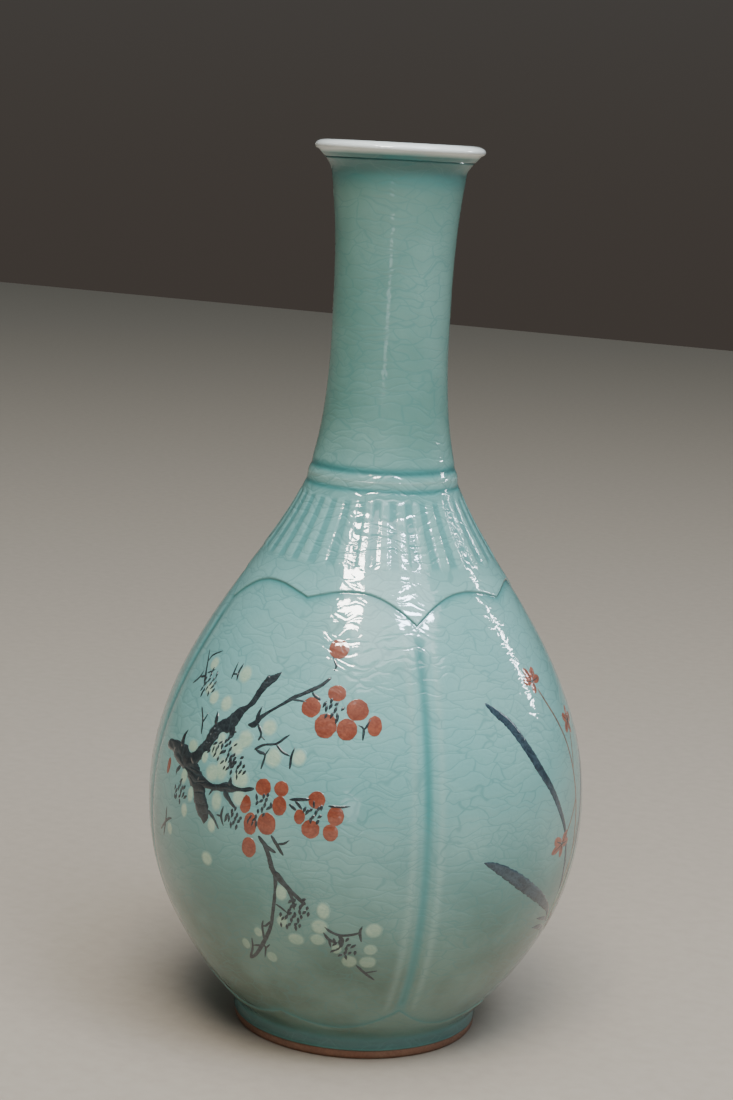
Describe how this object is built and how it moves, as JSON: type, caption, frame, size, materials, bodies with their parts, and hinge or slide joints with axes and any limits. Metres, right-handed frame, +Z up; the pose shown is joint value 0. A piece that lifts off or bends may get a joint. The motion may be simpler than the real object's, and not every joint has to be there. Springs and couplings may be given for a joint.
{
  "type": "bottle vase",
  "caption": "Pear-shaped crackle celadon bottle vase with a tall neck, rolled white lip, carved shoulder flutes and inlaid flower panels.",
  "frame": {"origin": "centre of the face that the foot ring stands on", "axes": "+Z up through the mouth; -Y is the middle of the plum panel, +X of the orchid panel"},
  "size_m": [0.1532, 0.1532, 0.31],
  "materials": {
    "bare_clay": "unglazed fired stoneware",
    "celadon_glaze": "glossy crackled celadon glaze",
    "white_glaze": "glossy white",
    "iron_slip": "black iron slip under clear glaze",
    "blue_slip": "blue-black slip under clear glaze",
    "brown_slip": "brown slip under clear glaze",
    "copper_slip": "copper-red slip under clear glaze",
    "white_slip": "white slip under clear glaze"
  },
  "bodies": {
    "root": {"foot_ring": "bare_clay", "body": "celadon_glaze", "neck": "celadon_glaze", "mouth_rim": "white_glaze", "bamboo_leaf_1": "blue_slip", "bamboo_leaf_10": "blue_slip", "bamboo_leaf_2": "blue_slip", "bamboo_leaf_3": "blue_slip", "bamboo_leaf_4": "blue_slip", "bamboo_leaf_5": "blue_slip", "bamboo_leaf_6": "blue_slip", "bamboo_leaf_7": "blue_slip", "bamboo_leaf_8": "blue_slip", "bamboo_leaf_9": "blue_slip", "bamboo_stalk_1": "iron_slip", "bamboo_stalk_2": "iron_slip", "chrysanthemum_flower_1": "white_slip", "chrysanthemum_flower_2": "white_slip", "chrysanthemum_flower_3": "white_slip", "chrysanthemum_leaf_1": "blue_slip", "chrysanthemum_leaf_2": "blue_slip", "chrysanthemum_leaf_3": "blue_slip", "chrysanthemum_leaf_4": "blue_slip", "chrysanthemum_leaf_5": "blue_slip", "chrysanthemum_stem": "iron_slip", "orchid_flower_1": "brown_slip", "orchid_flower_2": "brown_slip", "orchid_flower_3": "brown_slip", "orchid_flower_stem": "brown_slip", "orchid_leaf_1": "blue_slip", "orchid_leaf_2": "blue_slip", "orchid_leaf_3": "blue_slip", "orchid_leaf_4": "blue_slip", "orchid_leaf_5": "blue_slip", "plum_long_twig": "iron_slip", "plum_lower_spray": "iron_slip", "plum_middle_twig": "iron_slip", "plum_red_blossom_1": "copper_slip", "plum_red_blossom_2": "copper_slip", "plum_red_blossom_3": "copper_slip", "plum_red_bud_1": "copper_slip", "plum_red_bud_2": "copper_slip", "plum_red_bud_3": "copper_slip", "plum_red_bud_4": "copper_slip", "plum_right_spray": "iron_slip", "plum_top_twig": "iron_slip", "plum_trunk": "iron_slip", "plum_white_blossom_1": "white_slip", "plum_white_blossom_10": "white_slip", "plum_white_blossom_2": "white_slip", "plum_white_blossom_3": "white_slip", "plum_white_blossom_4": "white_slip", "plum_white_blossom_5": "white_slip", "plum_white_blossom_6": "white_slip", "plum_white_blossom_7": "white_slip", "plum_white_blossom_8": "white_slip", "plum_white_blossom_9": "white_slip"}
  },
  "joints": []
}
